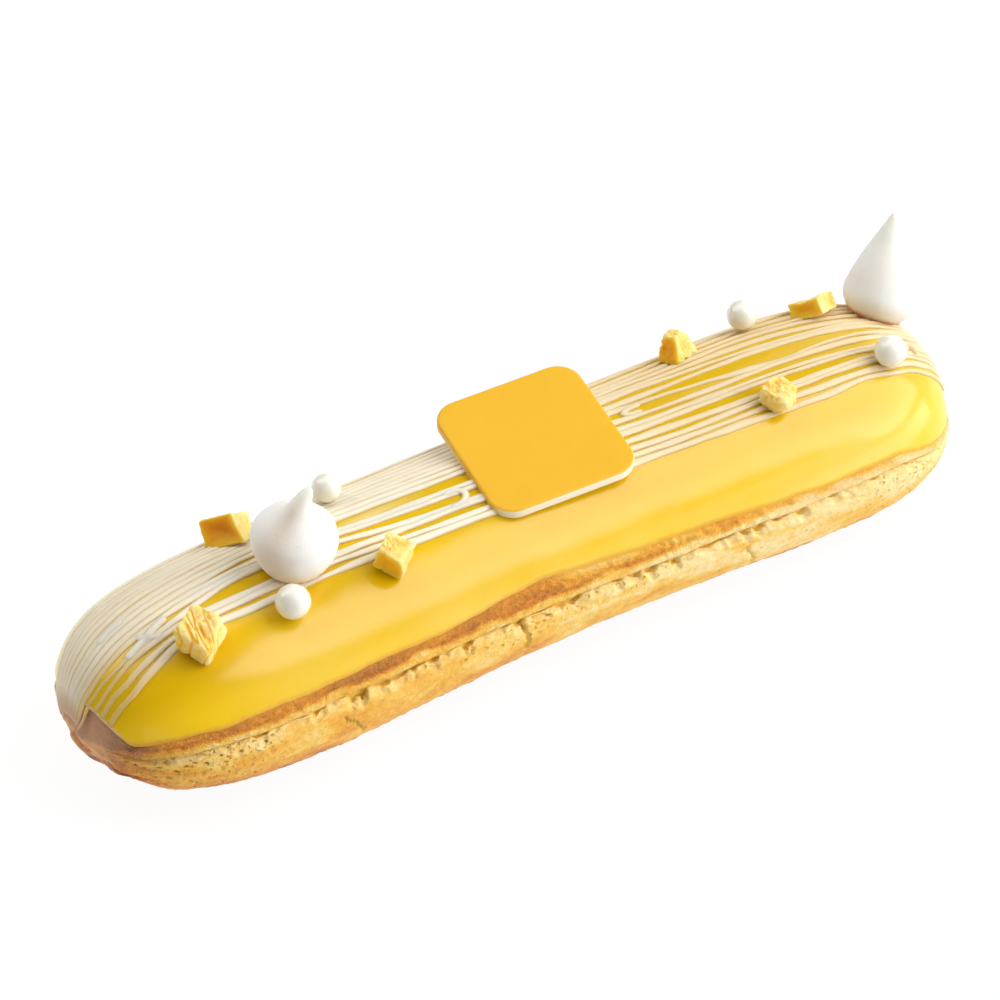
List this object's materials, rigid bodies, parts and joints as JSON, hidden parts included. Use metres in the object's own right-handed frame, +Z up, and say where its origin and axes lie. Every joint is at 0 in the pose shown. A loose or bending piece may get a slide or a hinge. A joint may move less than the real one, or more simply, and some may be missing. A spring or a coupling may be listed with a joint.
{
  "type": "eclair",
  "caption": "Long finger of baked choux with a lemon-yellow glaze, piped white lines, a square chocolate plaque, meringue kisses, sugar pearls and dried fruit.",
  "frame": {"origin": "on the flat spot underneath, halfway along the choux", "axes": "+X along the length, towards the end with the standing meringue; -Y to the front that the picture shows; +Z up"},
  "size_m": [0.1412, 0.0374, 0.0375],
  "materials": {
    "choux": "matte",
    "glaze": "gloss",
    "drizzle": "satin",
    "plaque": "satin",
    "meringue": "matte",
    "pearl": "satin",
    "fruit": "matte"
  },
  "bodies": {
    "root": {"choux": "choux", "icing": "glaze", "plaque": "plaque", "meringue_left": "meringue", "meringue_right": "meringue", "pearl_1": "pearl", "pearl_2": "pearl", "pearl_3": "pearl", "pearl_4": "pearl", "fruit_1": "fruit", "fruit_2": "fruit", "fruit_3": "fruit", "fruit_4": "fruit", "fruit_5": "fruit", "fruit_6": "fruit"}
  },
  "joints": []
}
